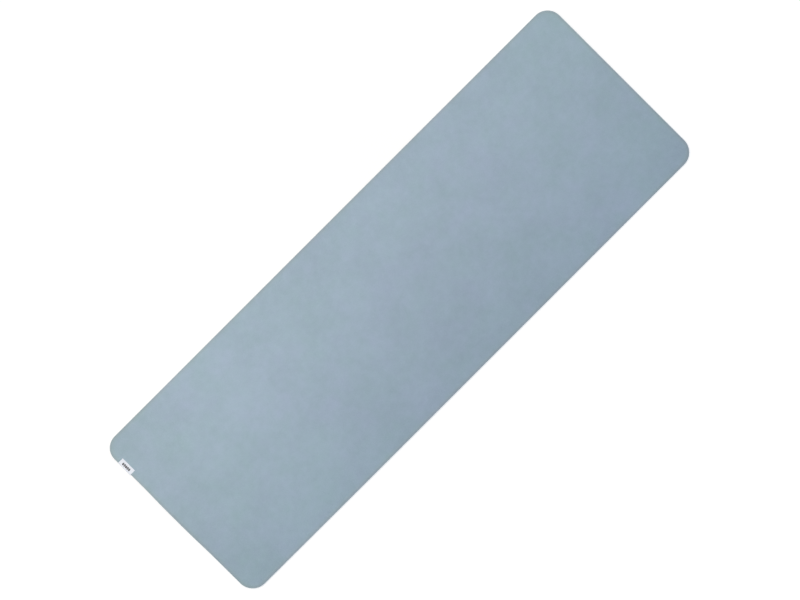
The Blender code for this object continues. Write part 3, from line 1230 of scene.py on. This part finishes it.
@dataclass
class Studio:
    """The plain white sweep that the mat lies on, the soft light over it and the pale surround."""

    floor_half: float = 30.0
    floor_drop: float = 0.00005
    floor_colour: Colour = (0.50, 0.50, 0.50)
    glow_levels: Pair = (0.47, 1.00)
    glow_reach: Pair = (0.25, 1.85)
    brightest: Point = (-0.30, 0.30, 0.0)
    glow_stretch: Point = (0.40, 1.0, 1.0)
    ambient: Colour = (0.251, 0.333, 0.460)
    key_share: Colour = (0.749, 0.667, 0.540)
    key_place: Point = (-0.310, 0.495, 1.172)
    key_aim: Point = (-0.148, -0.126, 0.0)
    key_size: Pair = (6.0, 1.044)

    def floor_material(self) -> Material:
        """Builds the sweep's material: a matt pale grey under a glow for the lens's rays.

        Both together look white. The glow grows with the distance from where the soft box lights
        the floor most, so the floor stays white where that light falls off. The box is long, so
        distances along it count for less.

        Returns:
            The material.
        """
        graph = Graph("white_sweep")
        away = graph.vectors("SUBTRACT", graph.place(), self.brightest)
        scaled = graph.vectors("MULTIPLY", away, self.glow_stretch)
        distance = graph.node("VectorMath", {0: scaled}, operation="LENGTH").outputs["Value"]
        glow_here = graph.ramp(distance, self.glow_reach, self.glow_levels)
        strength = graph.maths("MULTIPLY", glow_here, graph.lens_rays())
        glow = graph.node("Emission", {"Strength": strength}).outputs[0]
        matt = graph.node("BsdfDiffuse", {"Color": (*self.floor_colour, 1.0)}).outputs[0]
        return graph.surface(graph.node("AddShader", {0: glow, 1: matt}))

    def build_floor(self) -> None:
        """Lays the sweep just under the mat."""
        square = self.floor_half * np.array([[-1.0, -1.0], [1.0, -1.0], [1.0, 1.0], [-1.0, 1.0]])
        corners = np.insert(square, 2, -self.floor_drop, axis=1)
        face = np.array([[0, 1, 2, 3]])
        mesh_piece("studio_floor", corners, [face], [self.floor_material()])

    def build_surround(self) -> None:
        """Makes the surround a cool light for the mat and plain white for the lens's rays."""
        graph = Graph("studio_surround", world=True)
        soft, white = (
            graph.node("Background", {"Color": (*colour, 1.0)}).outputs[0]
            for colour in (self.ambient, WHITE)
        )
        mixed = graph.node("MixShader", {0: graph.lens_rays(), 1: soft, 2: white})
        bpy.context.scene.world = graph.surface(mixed)

    def build_key(self) -> None:
        """Hangs the long soft box beside the mat's +Y side, which gives the slow fall of light.

        Its power is its strongest share times pi squared times its area.
        """
        light = bpy.data.lights.new("soft_box", "AREA")
        light.shape = "RECTANGLE"
        light.size, light.size_y = self.key_size
        strongest = max(self.key_share)
        light.color = [share / strongest for share in self.key_share]
        light.energy = strongest * math.pi**2 * light.size * light.size_y
        lamp = bpy.data.objects.new("soft_box", light)
        lamp.location = self.key_place
        back = (Vector(self.key_place) - Vector(self.key_aim)).normalized()
        along = (Vector((1.0, 0.0, 0.0)) - back * back.x).normalized()
        lamp.rotation_euler = Matrix((along, back.cross(along), back)).transposed().to_euler()
        lamp.visible_camera = False
        bpy.context.scene.collection.objects.link(lamp)

    def build(self) -> None:
        """Builds the floor, the surround and the light."""
        self.build_floor()
        self.build_surround()
        self.build_key()


@dataclass
class Viewpoint:
    """A long lens straight above the mat, turned so that its length runs up to the right."""

    frame_px: tuple[int, int] = (800, 600)
    mat_centre_px: Pair = (399.44, 299.34)
    mat_length_px: float = 627.9
    mat_turn: float = math.radians(45.0)
    lens_mm: float = 85.0
    sensor_mm: float = 36.0
    clip: Pair = (0.1, 100.0)

    def build(self, mat_length: float, face_height: float) -> None:
        """Places the camera.

        Its distance is the picture's real width times the lens's length over the sensor's width.
        The step from the mat's place in the picture to the picture's centre moves it sideways.

        Args:
            mat_length: The mat's real length.
            face_height: The height of its top face.
        """
        metres_per_px = mat_length / self.mat_length_px
        distance = self.frame_px[0] * metres_per_px * self.lens_mm / self.sensor_mm
        aside = ((self.frame_px[0] - 1) / 2.0 - self.mat_centre_px[0]) * metres_per_px
        above = (self.mat_centre_px[1] - (self.frame_px[1] - 1) / 2.0) * metres_per_px
        cos, sin = math.cos(self.mat_turn), math.sin(self.mat_turn)
        data = bpy.data.cameras.new("overhead")
        data.lens, data.sensor_width = self.lens_mm, self.sensor_mm
        data.clip_start, data.clip_end = self.clip
        camera = bpy.data.objects.new("overhead", data)
        x, y = aside * cos + above * sin, above * cos - aside * sin
        camera.location = (x, y, face_height + distance)
        camera.rotation_euler = (0.0, 0.0, -self.mat_turn)
        bpy.context.scene.collection.objects.link(camera)
        bpy.context.scene.camera = camera


@dataclass
class YogaMat:
    """The whole mat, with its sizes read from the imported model."""

    label_thickness: float = 0.00035
    stitch_tail: float = 0.0015
    thread_radius: float = 0.00015
    thread_stand: float = 0.7
    seat_gap: float = 0.00004
    scrim_gap: float = 0.00001
    top_colour: Colour = (0.3037, 0.3923, 0.4673)
    base_colour: Colour = (0.262, 0.345, 0.415)

    def __post_init__(self) -> None:
        """Reads the nodes' boxes."""
        base_low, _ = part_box("base_layer")
        self.top_low, self.top_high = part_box("top_layer")
        self.scrim_low, self.scrim_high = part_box("reinforcing_scrim")
        self.label_low, self.label_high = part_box("woven_label")
        self.thread_low, self.thread_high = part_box("needle_thread")
        self.middle = (base_low[2] + self.top_high[2]) / 2.0
        self.leaf_offset = self.label_high[2] - self.middle - self.label_thickness / 2.0
        self.outline = Outline(self.top_high[0], self.top_high[1])

    def foam_sheets(self) -> list[FoamSheet]:
        """Sets out the two foam layers.

        Returns:
            The top layer and the base layer.
        """
        low, high, face_offset = self.label_low, self.label_high, self.top_high[2] - self.middle
        seat = self.leaf_offset - self.label_thickness / 2.0 - self.seat_gap
        shared = {
            "outline": self.outline,
            "pinch": Pinch(high[0], low[1], high[1], face_offset - seat),
            "middle": self.middle,
            "face_offset": face_offset,
        }
        top = FoamSheet(
            name="top_foam",
            node="top_layer",
            side=Side.UPPER,
            colour=self.top_colour,
            bond_offset=self.scrim_high[2] - self.middle,
            steps=(0.008, 0.008),
            fine_step=0.0009,
            **shared,
        )
        base = FoamSheet(
            name="base_foam",
            node="base_layer",
            side=Side.LOWER,
            colour=self.base_colour,
            bond_offset=self.middle - self.scrim_low[2],
            steps=(0.0034, 0.010),
            fine_step=0.0016,
            ribs=Ribs(),
            swell_depth=0.0,
            **shared,
        )
        return [top, base]

    def stitching(self) -> Stitching:
        """Sets out the lockstitch, from the needle thread's box.

        Returns:
            The stitching.
        """
        leaf_top = self.leaf_offset + self.label_thickness / 2.0
        return Stitching(
            row_x=(self.thread_low[0] + self.thread_high[0]) / 2.0,
            row_low=self.thread_low[1] + self.stitch_tail + 2.0 * self.thread_radius,
            row_high=self.thread_high[1] - self.stitch_tail - 2.0 * self.thread_radius,
            middle=self.middle,
            run_offset=leaf_top + self.thread_radius * self.thread_stand,
            thread_radius=self.thread_radius,
        )

    def build(self) -> list[Piece]:
        """Builds every piece in order.

        Returns:
            The pieces.
        """
        bottom, top = self.scrim_low[2] + self.scrim_gap, self.scrim_high[2] - self.scrim_gap
        stitching = self.stitching()
        label = Label(
            edge_x=self.top_low[0],
            reach=self.label_high[0] - self.top_low[0],
            y_low=self.label_low[1],
            y_high=self.label_high[1],
            middle=self.middle,
            leaf_offset=self.leaf_offset,
            thickness=self.label_thickness,
            stitching=stitching,
        )
        return [
            *(sheet.build() for sheet in self.foam_sheets()),
            Scrim(self.outline, bottom, top).build(),
            label.build(),
            stitching.build("needle_stitches", "needle_thread", Side.UPPER),
            stitching.build("bobbin_stitches", "bobbin_thread", Side.LOWER),
        ]


def main() -> None:
    """Builds the mat, the studio and the viewpoint."""
    logging.basicConfig(level=logging.INFO, format="%(name)s %(message)s")
    mat = YogaMat()
    Viewpoint().build(mat.top_high[0] - mat.top_low[0], mat.top_high[2])
    for piece in mat.build():
        LOG.info("%s: %d faces", piece.name, len(piece.data.polygons))
    Studio().build()
    bpy.context.scene.view_settings.view_transform = "Standard"


if __name__ == "__main__":
    main()
